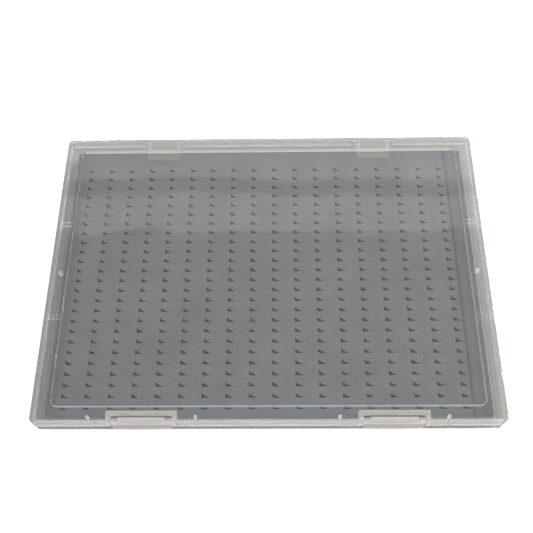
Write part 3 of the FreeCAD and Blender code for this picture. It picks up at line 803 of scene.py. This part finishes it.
def backing_sheet(material):
    """Plain lower foam sheet, seen in the notches and from the sides."""
    bm = bmesh.new()
    rings = slab_rings(bm, BACKING_LOW, BACKING_HIGH)
    fill_between(bm, rings[0])
    fill_between(bm, rings[-1])
    finish_foam("backing_foam_sheet", bm, material, "foam_backing_sheet")


def dress(node, material):
    """Gives a carried-over solid its finish."""
    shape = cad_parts[node]
    shape.data.materials.clear()
    shape.data.materials.append(material)


def area_light(name, place, target, size, radiance):
    """Soft rectangular light that faces a target, out of the camera's own view."""
    lamp = bpy.data.lights.new(name, "AREA")
    lamp.shape = "RECTANGLE"
    lamp.size, lamp.size_y = size
    lamp.energy = radiance * math.pi * size[0] * size[1]
    made = bpy.data.objects.new(name, lamp)
    bpy.context.scene.collection.objects.link(made)
    made.location = place
    made.rotation_euler = (Vector(target) - Vector(place)).to_track_quat("-Z", "Y").to_euler()
    made.visible_camera = False


def studio():
    """White table, even surroundings, light from above, the right and the front, bright cards behind."""
    mesh = bpy.data.meshes.new("table")
    half = TABLE_SIZE / 2
    corners = [(-half, -half), (half, -half), (half, half), (-half, half)]
    mesh.from_pydata([(x, y, -TABLE_DROP) for x, y in corners], [], [(0, 1, 2, 3)])
    new_object("table", mesh, pale_table("table_white"))
    world = bpy.data.worlds.new("studio")
    bpy.context.scene.world = world
    world.use_nodes = True
    ground = world.node_tree.nodes["Background"]
    ground.inputs["Color"].default_value = WHITE
    ground.inputs["Strength"].default_value = WORLD_STRENGTH
    for name, place, target, size, radiance in STUDIO_LIGHTS:
        area_light(name, place, target, size, radiance)


def photo_camera():
    """Camera at the photograph's place, turned a little about its own axis."""
    level = math.cos(CAMERA_ELEVATION)
    back = Vector((
        math.sin(CAMERA_AZIMUTH) * level,
        -math.cos(CAMERA_AZIMUTH) * level,
        math.sin(CAMERA_ELEVATION),
    ))
    right = Vector((math.cos(CAMERA_AZIMUTH), math.sin(CAMERA_AZIMUTH), 0.0))
    up = back.cross(right)
    turned_right = right * math.cos(CAMERA_ROLL) + up * math.sin(CAMERA_ROLL)
    turned_up = up * math.cos(CAMERA_ROLL) - right * math.sin(CAMERA_ROLL)
    place = CAMERA_TARGET + CAMERA_DISTANCE * back
    camera = bpy.data.cameras.new("camera")
    camera.lens = CAMERA_LENS
    camera.clip_start = CAMERA_CLIP
    made = bpy.data.objects.new("camera", camera)
    bpy.context.scene.collection.objects.link(made)
    turn = Matrix((turned_right, turned_up, back)).transposed().to_4x4()
    made.matrix_world = Matrix.Translation(place) @ turn
    bpy.context.scene.camera = made


def build():
    """All pieces, their finishes, the studio and the camera."""
    scene = bpy.context.scene
    scene.view_settings.view_transform = "Standard"
    scene.cycles.transparent_max_bounces = TRANSPARENT_BOUNCES
    scene.cycles.transmission_bounces = TRANSMISSION_BOUNCES
    foam = grey_foam("grey_foam_cells")
    slit_sheet(foam)
    backing_sheet(foam)
    dress("lid", clear_plastic("lid_clear", lid_haze_and_painted_light, lid_shade, LID_RIPPLE, calm=lid_calm))
    dress("base_tray", clear_plastic("tray_clear", tray_haze_and_painted_light, tray_shade, TRAY_RIPPLE))
    latch = clear_plastic("latch_clear", latch_haze, plain_shade(SMALL_PASS), SMALL_RIPPLE)
    leaf = clear_plastic("leaf_frosted", leaf_haze, plain_shade(LEAF_PASS), LEAF_RIPPLE, LEAF_ROUGHNESS)
    pin = clear_plastic("pin_clear", pin_haze, plain_shade(SMALL_PASS), SMALL_RIPPLE)
    for side in ("left", "right"):
        dress(side + "_latch", latch)
        dress(side + "_hinge_leaf", leaf)
        dress(side + "_hinge_pin", pin)
        dress(side + "_latch_pin", pin)
    dress("pad_adhesive_film", bonding_film("film_milky"))
    studio()
    photo_camera()


build()
